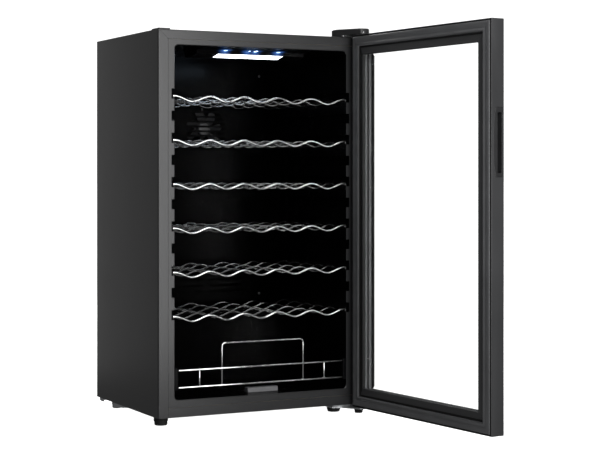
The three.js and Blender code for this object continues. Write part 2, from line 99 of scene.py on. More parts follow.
TO_ROW = Matrix.Translation(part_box("outer_shell")[0]) @ Matrix.Scale(0.001, 4)
ABOUT_HINGE = Matrix.Translation((*HINGE, 0))
DOOR_TO_ROW = TO_ROW @ ABOUT_HINGE @ Matrix.Rotation(DOOR_OPEN, 4, "Z") @ ABOUT_HINGE.inverted()


def on_slope(x, t, out):
    """A point of the control strip's sloped face: t down the slope and out from the surface."""
    return Vector((x, SLOPE_START[0] + t * math.cos(SLOPE) - out * math.sin(SLOPE),
                   SLOPE_START[1] - t * math.sin(SLOPE) - out * math.cos(SLOPE)))


# ---- materials -------------------------------------------------------------------------------
def add_node(tree, kind, inputs=(), **settings):
    """Adds a node; each of its inputs is a value or another node's output."""
    node = tree.nodes.new(kind)
    for key, value in settings.items():
        setattr(node, key, value)
    for key, value in dict(inputs).items():
        if isinstance(value, bpy.types.NodeSocket):
            tree.links.new(value, node.inputs[key])
        else:
            node.inputs[key].default_value = value
    return node


class Nodes:
    """A Principled material and short ways to add nodes to it."""

    def __init__(self, name, **values):
        self.mat = bpy.data.materials.new(name)
        self.mat.use_nodes = True
        self.tree = self.mat.node_tree
        self.bsdf = self.tree.nodes["Principled BSDF"]
        for key, value in values.items():
            self.bsdf.inputs[key.replace("_", " ")].default_value = value
        self.place = self.add("ShaderNodeTexCoord").outputs["Object"]

    def add(self, kind, inputs=(), **settings):
        return add_node(self.tree, kind, inputs, **settings)

    def link(self, source, socket):
        self.tree.links.new(source, self.bsdf.inputs[socket])

    def stretched(self, scale):
        return self.add("ShaderNodeMapping", {"Vector": self.place, "Scale": scale}).outputs[0]

    def noise(self, scale, detail=3.0, vector=None):
        return self.add("ShaderNodeTexNoise", {
            "Vector": vector or self.place, "Scale": scale, "Detail": detail}).outputs["Fac"]

    def ramp(self, value, stops):
        node = self.add("ShaderNodeValToRGB", {"Fac": value})
        points = node.color_ramp.elements
        while len(points) < len(stops):
            points.new(0.5)
        for point, (at, color) in zip(points, stops):
            point.position = at
            point.color = (*color, 1)
        return node.outputs["Color"]

    def spread(self, value, low, high, from_low=0.3, from_high=0.7):
        return self.add("ShaderNodeMapRange", {
            "Value": value, "From Min": from_low, "From Max": from_high, "To Min": low, "To Max": high,
        }).outputs[0]

    def math(self, operation, a, b):
        return self.add("ShaderNodeMath", {0: a, 1: b}, operation=operation).outputs[0]

    def bump(self, height, distance, strength=1.0):
        return self.add("ShaderNodeBump", {
            "Height": height, "Distance": distance, "Strength": strength}).outputs[0]


def brightened(color, amount):
    return tuple(min(1.0, c * amount) for c in color)


def surface(name, color, rough, grain=900, depth=0.00002, blotch=9.0, vary=0.18, stretch=None, **values):
    """A solid colour with cloudy variation, uneven gloss and a fine grain."""
    m = Nodes(name, **values)
    cloud = m.noise(blotch, 5)
    dark, light = brightened(color, 1 - vary), brightened(color, 1 + vary)
    m.link(m.ramp(cloud, [(0.3, dark), (0.7, light)]), "Base Color")
    vector = m.stretched(stretch) if stretch else None
    fine = m.noise(grain, 3, vector)
    both = m.math("ADD", m.math("MULTIPLY", cloud, 0.6), m.math("MULTIPLY", fine, 0.4))
    m.link(m.spread(both, rough[0], rough[1], 0.35, 0.65), "Roughness")
    m.link(m.bump(fine, depth), "Normal")
    return m


def zinc_material():
    m = Nodes("zinc_spangle", Metallic=1.0)
    crystal = m.add("ShaderNodeTexVoronoi", {"Vector": m.place, "Scale": 210.0, "Randomness": 1.0})
    tone = m.add("ShaderNodeSeparateColor", {0: crystal.outputs["Color"]}).outputs[0]
    cloud = m.noise(6, 4)
    mix = m.math("ADD", m.math("MULTIPLY", tone, 0.55), m.math("MULTIPLY", cloud, 0.45))
    m.link(m.ramp(mix, [(0.2, (0.40, 0.41, 0.42)), (0.8, (0.50, 0.51, 0.52))]), "Base Color")
    m.link(m.spread(tone, 0.36, 0.42, 0, 1), "Roughness")
    m.link(m.bump(m.noise(500, 2), 0.00002), "Normal")
    return m.mat


def strip_material():
    """Black plastic of the control strip, with a painted glow round its lit keys and display that stands in
    for their light spilling onto it.
    """
    m = surface("strip_plastic_painted_glow", (0.004, 0.004, 0.005), (0.30, 0.42), Specular_IOR_Level=0.2,
                Emission_Strength=0.9)
    # Painted glow: emission that fades with distance from each key and the display.
    near, far = 0.0035, 0.020
    spots = []
    for offset in (-KEY_X, -DIGIT_X, DIGIT_X, KEY_X):
        away = m.add("ShaderNodeVectorMath", {0: m.place, 1: TO_ROW @ on_slope(MIDDLE + offset, KEY_T, 0)},
                     operation="DISTANCE").outputs["Value"]
        spots.append(m.spread(away, 1.0, 0.0, near, far))
    glow = spots[0]
    for spot in spots[1:]:
        glow = m.math("MAXIMUM", glow, spot)
    glow = m.math("POWER", glow, 2.2)
    m.link(m.ramp(glow, [(0.0, (0, 0, 0)), (0.5, (0.03, 0.10, 0.36)), (1.0, (0.25, 0.5, 1.0))]),
           "Emission Color")
    return m.mat


def lamp_material():
    """Frosted lens lit from inside, with fine lengthwise ribs."""
    m = Nodes("lamp_glow", **{"Base_Color": (0.9, 0.95, 1, 1), "Emission_Strength": 7.0})
    ribs = m.add("ShaderNodeTexWave", {"Vector": m.place, "Scale": 210.0, "Distortion": 0.0},
                 bands_direction="X").outputs["Fac"]
    m.link(m.ramp(ribs, [(0, (0.80, 0.90, 1.0)), (1, (0.95, 0.98, 1.0))]), "Emission Color")
    m.link(m.spread(m.noise(40), 0.3, 0.5), "Roughness")
    m.link(m.bump(ribs, 0.0002), "Normal")
    return m.mat


def glow_material(name, color, strength):
    m = Nodes(name, **{"Base_Color": (*brightened(color, 0.6), 1), "Emission_Strength": strength})
    cloud = m.noise(600, 2)
    m.link(m.ramp(cloud, [(0.3, brightened(color, 0.85)), (0.7, color)]), "Emission Color")
    m.link(m.spread(cloud, 0.18, 0.32), "Roughness")
    return m.mat


def glass_material():
    m = Nodes("pane_glass", **{"Transmission_Weight": 1.0, "IOR": 1.18, "Roughness": 0.0})
    m.link(m.ramp(m.noise(3), [(0.3, (0.985, 0.995, 0.99)), (0.7, (0.995, 1.0, 0.998))]), "Base Color")
    m.link(m.bump(m.noise(2.5, 1), 0.0001, 0.15), "Normal")
    return m.mat


def chrome_material(name, low, high):
    m = Nodes(name, Metallic=1.0)
    cloud = m.noise(25, 4)
    cool = (1, 1.005, 1.01)
    m.link(m.ramp(cloud, [(0.3, brightened(cool, low)), (0.7, brightened(cool, high))]), "Base Color")
    m.link(m.spread(m.noise(120, 4), 0.10, 0.24), "Roughness")
    m.link(m.bump(m.noise(1500, 2), 0.00001), "Normal")
    return m.mat


def copper_material():
    m = Nodes("pipe_copper", Metallic=1.0)
    cloud = m.noise(55, 5)
    m.link(m.ramp(cloud, [(0.3, (0.42, 0.20, 0.11)), (0.55, (0.72, 0.40, 0.26)), (0.75, (0.80, 0.48, 0.32))]),
           "Base Color")
    m.link(m.spread(cloud, 0.22, 0.45), "Roughness")
    m.link(m.bump(m.noise(700, 2), 0.00002), "Normal")
    return m.mat


PAINT = surface("cabinet_paint", (0.017, 0.0172, 0.018), (0.29, 0.35), grain=1100, depth=0.00003,
                blotch=4, vary=0.10).mat
LINER = surface("liner_gloss", (0.0030, 0.0030, 0.0034), (0.18, 0.28), grain=700, depth=0.000012,
                blotch=14, vary=0.3, Specular_IOR_Level=0.06).mat
FRAME = surface("door_frame", (0.027, 0.0273, 0.0285), (0.34, 0.44), grain=1200, depth=0.00002,
                blotch=5, vary=0.10).mat
# Black painted where shade falls in the door: its grooves, steps and glazing channel, the hinge stile's bead
# and the spacer's channel.
PAINTED_SHADE_BLACK = surface("groove_black", (0.002, 0.002, 0.002), (0.6, 0.75)).mat
SEAL = surface("seal_rubber", (0.075, 0.076, 0.079), (0.30, 0.42), grain=800, depth=0.00002, blotch=20,
               vary=0.12).mat
BLACK = surface("black_plastic", (0.014, 0.014, 0.015), (0.34, 0.50), grain=1500, depth=0.00004).mat
RUBBER = surface("foot_rubber", (0.008, 0.008, 0.008), (0.62, 0.82), grain=900, depth=0.00008,
                 vary=0.3).mat
TANK = surface("tank_paint", (0.008, 0.008, 0.009), (0.22, 0.36), grain=350, depth=0.00006, blotch=18,
               vary=0.3).mat
STOP = surface("stop_plastic", (0.10, 0.10, 0.105), (0.40, 0.55), grain=1200, depth=0.00004).mat
FOAM = surface("rigid_foam", (0.70, 0.58, 0.33), (0.85, 0.95), grain=420, depth=0.0006, blotch=12).mat
ALU = surface("bare_aluminium", (0.58, 0.59, 0.60), (0.28, 0.42), grain=240, depth=0.00002, vary=0.1,
              stretch=(1, 1, 0.04), Metallic=1.0).mat
SPACER = surface("spacer_grey", (0.10, 0.102, 0.105), (0.34, 0.48), grain=900, depth=0.00004,
                 Metallic=0.4).mat
SCREW = surface("screw_steel", (0.36, 0.365, 0.37), (0.22, 0.38), grain=1500, depth=0.00001,
                Metallic=1.0).mat
BRIGHT = surface("pin_steel", (0.72, 0.725, 0.73), (0.16, 0.28), grain=1500, depth=0.00001, Metallic=1.0).mat
DISPLAY = surface("display_gloss", (0.004, 0.006, 0.012), (0.05, 0.10), grain=300, depth=0.000004).mat
ZINC, STRIP, LAMP = zinc_material(), strip_material(), lamp_material()
GLASS, COPPER = glass_material(), copper_material()
# Lit and shaded copies of one chrome: the front shelf wires and the guard take the bright one, and the
# shelves' inner wires the dark one, which is painted shade.
CHROME, WIRE_IN_PAINTED_SHADE = chrome_material("wire_chrome", 0.66, 0.84), chrome_material("inner_wire_chrome_painted_shade", 0.30, 0.42)
KEY = glow_material("key_glow", (0.42, 0.66, 1.0), 3.2)
DIGIT = glow_material("digit_glow", (0.55, 0.76, 1.0), 9.0)


# ---- mesh helpers ----------------------------------------------------------------------------
def turns(sides):
    """Evenly spaced angles once round, in radians."""
    return [2 * math.pi * i / sides for i in range(sides)]


def corner_arc(cu, cv, r, start, steps):
    """Points of a quarter circle round (cu, cv), from the angle start in degrees."""
    return [(cu + r * math.cos(math.radians(start + 90 * i / steps)),
             cv + r * math.sin(math.radians(start + 90 * i / steps))) for i in range(steps + 1)]


def rounded_rect(u0, u1, v0, v1, r, steps):
    return (corner_arc(u1 - r, v1 - r, r, 0, steps) + corner_arc(u0 + r, v1 - r, r, 90, steps)
            + corner_arc(u0 + r, v0 + r, r, 180, steps) + corner_arc(u1 - r, v0 + r, r, 270, steps))


AXES = {"x": lambda u, v, w: (w, u, v), "y": lambda u, v, w: (u, w, v), "z": lambda u, v, w: (u, v, w)}


def loft(bm, rings, closed=False, material=0):
    """Quads between rings of points with the same count; the first and last are capped unless closed.
    The material is one index, or a list with one for each edge of the ring."""
    listed = isinstance(material, list)
    rows = [[bm.verts.new(p) for p in ring] for ring in rings]
    count = len(rows[0])
    pairs = list(zip(rows, rows[1:])) + ([(rows[-1], rows[0])] if closed else [])
    for a, b in pairs:
        for i in range(count):
            j = (i + 1) % count
            bm.faces.new((a[i], a[j], b[j], b[i])).material_index = material[i] if listed else material
    if not closed:
        bm.faces.new(rows[0][::-1]).material_index = 0 if listed else material
        bm.faces.new(rows[-1]).material_index = 0 if listed else material


def prism(bm, outline, axis, low, high):
    put = AXES[axis]
    loft(bm, [[put(u, v, w) for u, v in outline] for w in (low, high)])


THINNEST = 0.02   # radius in place of 0, so that a turned body's end is still a ring


def lathe(bm, profile, centre, axis="z", sides=32, squash=(1.0, 1.0)):
    """A turned body: the profile is (radius, height) pairs along the axis through centre."""
    put = AXES[axis]
    spots = {"x": (1, 2, 0), "y": (0, 2, 1), "z": (0, 1, 2)}[axis]
    cu, cv, cw = (centre[i] for i in spots)
    rings = []
    for r, h in profile:
        r = max(r, THINNEST)
        rings.append([put(cu + squash[0] * r * math.cos(a), cv + squash[1] * r * math.sin(a), cw + h)
                      for a in turns(sides)])
    loft(bm, rings)


def tube(bm, points, radius, sides=10):
    """A round wire along a path, with domed ends."""
    path = [Vector(p) for p in points]
    ways = [(b - a).normalized() for a, b in zip(path, path[1:])]
    tangents = [ways[0]] + [(a + b).normalized() for a, b in zip(ways, ways[1:])] + [ways[-1]]
    side = tangents[0].orthogonal().normalized()
    rings, last = [], tangents[0]

    def ring(centre, r, across, along):
        up = along.cross(across)
        return [centre + r * (math.cos(a) * across + math.sin(a) * up) for a in turns(sides)]

    for p, way in zip(path, tangents):
        side = last.rotation_difference(way) @ side
        side = (side - side.dot(way) * way).normalized()
        rings.append(ring(p, radius, side, way))
        last = way
    first = tangents[0].orthogonal().normalized()
    for angle in (35, 65):
        out, r = radius * math.sin(math.radians(angle)), radius * math.cos(math.radians(angle))
        rings.insert(0, ring(path[0] - tangents[0] * out, r, first, tangents[0]))
        rings.append(ring(path[-1] + tangents[-1] * out, r, side, tangents[-1]))
    loft(bm, rings)


def bent(points, r, steps=6):
    """A path whose inner corners are rounded."""
    out = [Vector(points[0])]
    for before, here, after in zip(points, points[1:], points[2:]):
        p = Vector(here)
        start = p + (Vector(before) - p).normalized() * r
        end = p + (Vector(after) - p).normalized() * r
        for i in range(steps + 1):
            t = i / steps
            out.append((1 - t) ** 2 * start + 2 * t * (1 - t) * p + t * t * end)
    out.append(Vector(points[-1]))
    return out


def frame_ring(bm, profile, corner, material=0):
    """Sweeps a closed profile of (inset, y) pairs round the door. It is mitred at the corners, and
    corner(inset, sx, sz) gives their (x, z)."""
    rings = [[(corner(u, sx, sz)[0], y, corner(u, sx, sz)[1]) for u, y in profile]
             for sx, sz in ((-1, -1), (1, -1), (1, 1), (-1, 1))]
    loft(bm, rings, closed=True, material=material)


SMOOTH_BELOW = 38           # degrees between two faces, unless a piece says otherwise
WELD_MM, WELD_M = 0.0005, 2e-6


def make(name, bm, body, materials, stands_for=(), place=TO_ROW, angle=SMOOTH_BELOW):
    """Turns a bmesh in cabinet millimetres into a piece that rides on a body."""
    bmesh.ops.remove_doubles(bm, verts=bm.verts, dist=WELD_MM)
    bmesh.ops.recalc_face_normals(bm, faces=bm.faces)
    bm.transform(place)
    return piece(name, bm, body, materials, stands_for, angle=angle)


def piece(name, bm, body, materials, stands_for, bevel=0.0, segments=2, angle=SMOOTH_BELOW):
    """Turns a bmesh in the row's metres into a piece, with its edges eased by a bevel in millimetres."""
    mesh = bpy.data.meshes.new(name)
    bm.to_mesh(mesh)
    bm.free()
    for material in materials:
        mesh.materials.append(material)
    mesh.polygons.foreach_set("use_smooth", [True] * len(mesh.polygons))
    obj = bpy.data.objects.new(name, mesh)
    bpy.context.scene.collection.objects.link(obj)
    if bevel:
        edge = obj.modifiers.new("Edges", "BEVEL")
        edge.width, edge.segments, edge.limit_method = bevel * 0.001, segments, "ANGLE"
        edge.angle_limit, edge.miter_outer = math.radians(angle), "MITER_ARC"
        even = obj.modifiers.new("Normals", "WEIGHTED_NORMAL")
        even.keep_sharp, even.weight = True, 80
    else:
        mesh.set_sharp_from_angle(angle=math.radians(angle))
    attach(obj, body)
    if stands_for:
        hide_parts(*stands_for)
    return obj


def refined(node, materials, bevel=0.5, segments=2, part=None):
    """A copy of a CAD node with its flat faces joined and its edges eased, which stands for it. With
    part = (name, side), only what lies in front of (-1) or behind (1) the liner's split is kept."""
    source = frame["nodes"][node]
    bm = bmesh.new()
    bm.from_mesh(source.data)
    bmesh.ops.remove_doubles(bm, verts=bm.verts, dist=WELD_M)
    if part:
        cut = bmesh.ops.bisect_plane(bm, geom=bm.verts[:] + bm.edges[:] + bm.faces[:], dist=1e-7,
                                     plane_co=TO_ROW @ Vector((0, LINER_SPLIT, 0)),
                                     plane_no=(0, -part[1], 0), clear_outer=True)
        rim = [g for g in cut["geom_cut"] if isinstance(g, bmesh.types.BMEdge)]
        bmesh.ops.triangle_fill(bm, edges=rim, use_beauty=True)
    bmesh.ops.dissolve_limit(bm, angle_limit=math.radians(0.6), verts=bm.verts, edges=bm.edges)
    bmesh.ops.recalc_face_normals(bm, faces=bm.faces)
    name = part[0] if part else node + "_skin"
    stands_for = [] if part and part[1] < 0 else [node]   # one part alone stands for the node
    return piece(name, bm, source["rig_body"], materials, stands_for, bevel, segments)


SLOT_OF = {s["node"]: s["material_slot"] for s in frame["record"]["subparts"]}


def dress(material, *nodes):
    """Gives CAD nodes that stay as they are a new material."""
    for name in nodes:
        mesh = frame["nodes"][name].data
        mesh.materials.clear()
        mesh.materials.append(material)


# ---- camera, floor and light -----------------------------------------------------------------
def make_camera():
    data = bpy.data.cameras.new("camera")
    data.lens, data.sensor_width = 95.2, 36
    data.shift_x, data.shift_y = -0.0317, -0.09
    cam = bpy.data.objects.new("camera", data)
    bpy.context.scene.collection.objects.link(cam)
    cam.location = TO_ROW @ Vector((-1224.3, -3059.3, 512.8))
    cam.rotation_euler = (math.radians(90), 0, math.radians(-27.6))
    bpy.context.scene.camera = cam


def area_light(name, at, target, size, power, color=(1, 1, 1)):
    data = bpy.data.lights.new(name, "AREA")
    data.shape, (data.size, data.size_y) = "RECTANGLE", size
    data.energy, data.color = power, color
    lamp = bpy.data.objects.new(name, data)
    bpy.context.scene.collection.objects.link(lamp)
    lamp.visible_camera = False
    lamp.location = at
    lamp.rotation_euler = (Vector(target) - Vector(at)).to_track_quat("-Z", "Y").to_euler()


def make_floor():
    bm = bmesh.new()
    bmesh.ops.create_grid(bm, x_segments=2, y_segments=2, size=60)
    mesh = bpy.data.meshes.new("floor")
    bm.to_mesh(mesh)
    bm.free()
    m = Nodes("floor_white", Roughness=0.9, Specular_IOR_Level=0.0)
    m.link(m.ramp(m.noise(1.5), [(0.3, (0.86, 0.86, 0.86)), (0.7, (0.88, 0.88, 0.88))]), "Base Color")
    mesh.materials.append(m.mat)
    floor = bpy.data.objects.new("floor", mesh)
    bpy.context.scene.collection.objects.link(floor)
    floor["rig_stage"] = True
    floor.visible_diffuse = floor.visible_glossy = floor.visible_transmission = False
    return floor


def make_world():
    """A backdrop that is white to the camera, also straight through the glass, and dim to all else."""
    world = bpy.data.worlds.new("studio")
    bpy.context.scene.world = world
    world.use_nodes = True
    tree = world.node_tree
    soft = tree.nodes["Background"]
    soft.inputs["Color"].default_value, soft.inputs["Strength"].default_value = WHITE, 0.14
    seen = add_node(tree, "ShaderNodeBackground", {"Color": WHITE, "Strength": 1.3})
    ray = add_node(tree, "ShaderNodeLightPath").outputs

    def combined(operation, a, b):
        return add_node(tree, "ShaderNodeMath", {0: a, 1: b}, operation=operation).outputs[0]

    unreflected = combined("LESS_THAN", ray["Glossy Depth"], 0.5)
    through = combined("MULTIPLY", unreflected, ray["Is Transmission Ray"])
    either = combined("MAXIMUM", ray["Is Camera Ray"], through)
    mix = add_node(tree, "ShaderNodeMixShader", {0: either, 1: soft.outputs[0], 2: seen.outputs[0]})
    tree.links.new(mix.outputs[0], tree.nodes["World Output"].inputs["Surface"])


def make_lights(floor):
    front = TO_ROW @ Vector((230, -1400, 700))
    area_light("front_box", front, front + Vector((0, 1, 0)), size=(0.9, 1.6), power=24)
    side = TO_ROW @ Vector((-190, 1220, 680))
    area_light("side_strip", side, side + Vector((0.42, -0.9, -0.05)), size=(0.25, 1.5), power=0.42)
    # A small light that stands in for the lamp's reflection on the back wall.
    area_light("lamp_spill", TO_ROW @ Vector((MIDDLE, 112, 752)), TO_ROW @ Vector((200, 306, 700)),
               size=(0.15, 0.012), power=0.045, color=(0.62, 0.80, 1.0))
    area_light("top_box", (0.1, 0.2, 2.6), (0, 0.1, 0.8), size=(1.6, 1.6), power=20)
    area_light("right_box", (2.4, 0.8, 1.3), (0.2, 0.2, 0.4), size=(1.4, 1.4), power=24)
    area_light("rear_box", (0.4, 3.0, 1.3), (0, 0.4, 0.4), size=(1.6, 1.4), power=34)
    # A broad sun for the floor alone, which the object neither blocks nor receives.
    sun = bpy.data.lights.new("floor_sun", "SUN")
    sun.energy, sun.angle = 5.6, math.radians(80)
    above = bpy.data.objects.new("floor_sun", sun)
    bpy.context.scene.collection.objects.link(above)
    only_floor = bpy.data.collections.new("lit_by_floor_sun")
    only_floor.objects.link(floor)
    above.light_linking.receiver_collection = only_floor
    above.light_linking.blocker_collection = only_floor


make_camera()
stage_floor = make_floor()
make_world()
make_lights(stage_floor)
bpy.context.scene.view_settings.view_transform = "Standard"


# ---- small fastenings ------------------------------------------------------------------------
def screw_head(bm, at, out, r, height):
    """A pan-head screw with a cross recess, its head standing out of the surface along out."""
    out = Vector(out).normalized()
    turn = Vector((0, 0, 1)).rotation_difference(out).to_matrix().to_4x4()
    start = len(bm.verts)
    angles = turns(24)
    profile = ((1, 0), (1, 0.35), (0.9, 0.72), (0.68, 0.95), (0.5, 1))
    rings = [[(r * wide * math.cos(a), r * wide * math.sin(a), height * up) for a in angles]
             for wide, up in profile]
    cross = []
    for a in angles:
        on_arm = max(abs(math.cos(a)), abs(math.sin(a))) > 0.96
        reach = r * (0.42 if on_arm else 0.14)
        cross.append((reach * math.cos(a), reach * math.sin(a), height))
    rings.append(cross)
    rings.append([(x * 0.7, y * 0.7, height * 0.3) for x, y, _ in cross])
    loft(bm, rings)
    bm.verts.ensure_lookup_table()
    for v in bm.verts[start:]:
        v.co = Vector(at) + (turn @ v.co)


def screws(name, places, r=3.6, height=1.5, material=SCREW):
    """Screws of the cabinet; places are (point, outward direction) pairs."""
    bm = bmesh.new()
    for at, out in places:
        screw_head(bm, at, out, r, height)
    make(name, bm, "cabinet", [material], angle=50)


# ---- cabinet ---------------------------------------------------------------------------------
refined("outer_shell", [PAINT], 0.35)
refined("bottom_panel", [PAINT], 0.4)
refined("back_panel", [ZINC], 0.7)
refined("inner_liner", [PAINT], 0.5, 2, ("liner_flange", -1))
refined("inner_liner", [LINER], 0.9, 3, ("liner_tub", 1))
refined("duct_cover", [LINER], 0.0)
refined("control_strip", [STRIP], 0.4)
refined("lamp_lens", [LAMP], 0.3)
refined("floor_stop", [STOP], 0.7)
refined("guard_clip_left", [LINER], 0.8)
refined("guard_clip_right", [LINER], 0.8)
refined("upper_hinge_cover", [BLACK], 1.6, 4)
refined("hinge_hole_cap", [BLACK], 0.4)
refined("upper_hinge", [BRIGHT], 0.3)
refined("lower_hinge", [ZINC], 0.4)
refined("base_plate", [ZINC], 0.4)
refined("terminal_box", [BLACK], 1.2, 3)
refined("evaporation_tray", [BLACK], 0.5)
refined("mains_inlet", [BLACK], 0.8)
dress(FOAM, "foam_left", "foam_right", "foam_top", "foam_bottom", "foam_step_front", "foam_step_top",
      "foam_back")
refined("evaporator", [ALU], 0.3)
refined("fan_motor", [BLACK], 0.4)
refined("bay_panel", [ZINC], 0.3)
refined("display_window", [DISPLAY], 0.25)
for pane in ("door_glass_outer", "door_glass_inner"):
    refined(pane, [GLASS], 0.3).visible_shadow = False


def make_feet():
    """Moulded feet with a chamfered sole and two ribs."""
    for name, x, y, top, r in (("front_left", 18, 30, -0.3, 16), ("front_right", 428, 32, -7, 16),
                               ("hinge", 467, -12, -7, 10.5), ("rear_left", 22, 302, -2.6, 12),
                               ("rear_right", W - 22, 302, -2.6, 12)):
        tall = top - FLOOR
        sole = [(0, FLOOR), (r * 0.74, FLOOR), (r * 0.79, FLOOR + 0.3), (r * 0.83, FLOOR + 1.3)]
        ribs = [(r * wide, FLOOR + tall * up) for wide, up in (
            (0.86, 0.22), (0.87, 0.34), (0.83, 0.37), (0.84, 0.46), (0.93, 0.50), (0.95, 0.78), (0.91, 0.81),
            (0.92, 0.88))]
        rim = [(r * 0.985, top - 0.9), (r * 0.985, top - 0.25), (r * 0.95, top), (0, top)]
        bm = bmesh.new()
        lathe(bm, sole + ribs + rim, (x, y, 0), sides=40)
        node = "foot_" + name
        make(node + "_moulding", bm, frame["nodes"][node]["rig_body"], [RUBBER], [node],
             angle=40)


def make_compressor():
    """A welded oval can with its seam, on a foot plate that stands on four grommets."""
    x, y = 300, 298
    plate_x, plate_y, grommet_x, grommet_y = 98, 52, 86, 42
    bm = bmesh.new()
    can = [(0, 14.5), (44, 14.5), (52, 16), (58, 20), (61, 27), (62, 40), (62, 79), (63.4, 80), (64, 81),
           (64, 85), (63.4, 86), (62, 87), (61.7, 100), (60, 110), (56, 120), (49, 128), (40, 134),
           (28, 137.5), (14, 139.3), (0, 139.8)]
    lathe(bm, can, (x, y, 0), sides=64, squash=(1.32, 1.0))
    prism(bm, rounded_rect(x - plate_x, x + plate_x, y - plate_y, y + plate_y, 16, 6), "z", 12.1, 14.8)
    make("compressor_can", bm, "cabinet", [TANK], ["compressor"], angle=40)
    grommet = [(0, 0.1), (10.2, 0.1), (10.9, 0.6), (10.9, 3.6), (10.2, 4.4), (8.4, 5.2), (8.0, 6.0),
               (8.4, 6.8), (10.2, 7.6), (10.9, 8.4), (10.9, 11.0), (10.2, 11.6), (0, 11.6)]
    corners = [(sx, sy) for sy in (-1, 1) for sx in (-1, 1)]
    for n, (sx, sy) in enumerate(corners, 1):
        node = f"grommet_{n}"
        bm = bmesh.new()
        lathe(bm, grommet, (x + sx * grommet_x, y + sy * grommet_y, 0), sides=28)
        make(node + "_moulding", bm, "cabinet", [RUBBER], [node], angle=40)


def make_pipes():
    """The filter drier with the pipe below it, and the suction pipe at the can's right."""
    x, y, low, rear = 118, 316, 14, 362.4
    bm = bmesh.new()
    lathe(bm, [(2.6, 34), (2.9, 40), (5.6, 42.5), (8.2, 46), (9.3, 51), (9.3, 117), (8.2, 122), (5.6, 126),
               (2.9, 129), (2.6, 137.6)], (x, y, 0), sides=32)
    tube(bm, bent([(x, y, 33), (x, y, low), (148, 352, low), (240, rear, low), (252, rear, 60)], 9),
         2.5, 14)
    make("drier_pipework", bm, "cabinet", [COPPER], ["drier_and_pipe"], angle=40)
    x = 424
    bm = bmesh.new()
    tube(bm, bent([(395, 300, 60.5), (x, 300, 60.5), (x, 300, 120), (x, 250, 140), (x, 250, 157.5)], 12),
         3.5, 16)
    make("suction_pipework", bm, "cabinet", [COPPER], ["suction_pipe"], angle=40)


def make_fan():
    """Hub and seven swept blades that twist from root to tip."""
    cx, cy, cz = MIDDLE, 317, 610
    half_depth = 5.8
    section = ((-1, 0), (-0.5, 0.8), (0, 1.0), (0.5, 0.8), (1, 0), (0.5, -0.5), (0, -0.6), (-0.5, -0.5))
    bm = bmesh.new()
    lathe(bm, [(0, -5.9), (11, -5.9), (14.5, -5.4), (16.4, -4.0), (16.9, -2.0), (16.9, 5.9), (0, 5.9)],
          (cx, cy, cz), "y", 40)
    for root in turns(7):
        rings = []
        for step in range(7):
            t = step / 6
            r, lean = 15.5 + 27.5 * t, 0.75 - 0.25 * t
            sweep, half = root + 0.16 * t * t, 8.6 + 1.2 * math.sin(math.pi * t) - 2.5 * t ** 4
            ring = []
            for along, thick in section:
                camber = 1.1 * (1 - along * along)
                s, n = along * half, thick * 0.8 + camber
                tangent = s * math.cos(lean) - n * math.sin(lean)
                axial = s * math.sin(lean) + n * math.cos(lean)
                px = r * math.cos(sweep) - tangent * math.sin(sweep)
                pz = r * math.sin(sweep) + tangent * math.cos(sweep)
                ring.append((cx + px, cy + max(-half_depth, min(half_depth, axial)), cz + pz))
            rings.append(ring)
        loft(bm, rings)
    make("fan_wheel", bm, "fan", [BLACK], ["fan_rotor"], angle=40)


def make_keys():
    """Domed lit keys, each in a thin raised ring on the strip."""
    cap = [(THINNEST, -1.3), (4.5, -1.3), (4.5, 0.1), (4.2, 0.55), (3.2, 0.8), (1.6, 0.88), (THINNEST, 0.9)]
    ring = [(5.2, -0.1), (6.3, -0.1), (6.2, 0.3), (5.8, 0.42), (5.4, 0.3)]
    for node, offset in (("key_left", -KEY_X), ("key_right", KEY_X)):
        for name, profile, body, slot, material, stands_for in (
                (node + "_cap", cap, node, SLOT_OF[node], KEY, [node]),
                (node + "_ring", ring, "cabinet", SLOT_OF["control_strip"], BLACK, ())):
            bm = bmesh.new()
            rings = [[on_slope(MIDDLE + offset + r * math.cos(a), KEY_T + r * math.sin(a), out)
                      for a in turns(36)] for r, out in profile]
            loft(bm, rings, closed=profile is ring)
            make(name, bm, body, [material], stands_for, angle=40)


make_feet()
make_compressor()
make_pipes()
make_fan()
make_keys()


# ---- wire shelves and guard ------------------------------------------------------------------
GROOVE_PITCH, TOP_GROOVE, GROOVE_HALF = 46.0, 673.8, 10.6
RUNNER, ROD_RISE, CREST_RISE = 36.0, 2.8, 3.4
WAVE_PITCH, WAVE_DEPTH, WAVE_START, WAVE_STEP, WAVE_POINTS = 80.0, 11.0, 40, 5, 81
SHELF_FRONT, ROW_GAP, SHELF_ROWS = 6, 58.4, 6


def make_shelf(index):
    """Three rods and six wavy wires across them. The front wave is its own piece in bright chrome; the rest
    take a darker copy of it, painted shade for their depth in the cabinet.
    """
    rod_z = TOP_GROOVE - 2 * index * GROOVE_PITCH - GROOVE_HALF + ROD_RISE
    crest = rod_z + CREST_RISE
    name = f"shelf_{index + 1}"

    def wave(bm, y):
        path = [(RUNNER, y, crest)]
        for i in range(WAVE_POINTS):
            x = WAVE_START + i * WAVE_STEP
            down = (1 - math.cos(2 * math.pi * (x - WAVE_START) / WAVE_PITCH)) / 2
            path.append((x, y, crest - WAVE_DEPTH * down))
        path.append((W - RUNNER, y, crest))
        tube(bm, path, 2.2, 10)

    bm = bmesh.new()
    for x, r, end in ((RUNNER, 2.5, 6.0), (W - RUNNER, 2.5, 6.0), (200, 2.3, 4.8)):
        tube(bm, [(x, end, rod_z), (x, 150, rod_z), (x, 297.5, rod_z)], r, 14)
    for row in range(1, SHELF_ROWS):
        wave(bm, SHELF_FRONT + row * ROW_GAP)
    # The wires behind the front one take the darker chrome, painted shade.
    make(name + "_wires", bm, name, [WIRE_IN_PAINTED_SHADE], [name], angle=60)
    bm = bmesh.new()
    wave(bm, SHELF_FRONT)
    make(name + "_front_wire", bm, name, [CHROME], angle=60)


SHELVES = 6
for index in range(SHELVES):
    make_shelf(index)


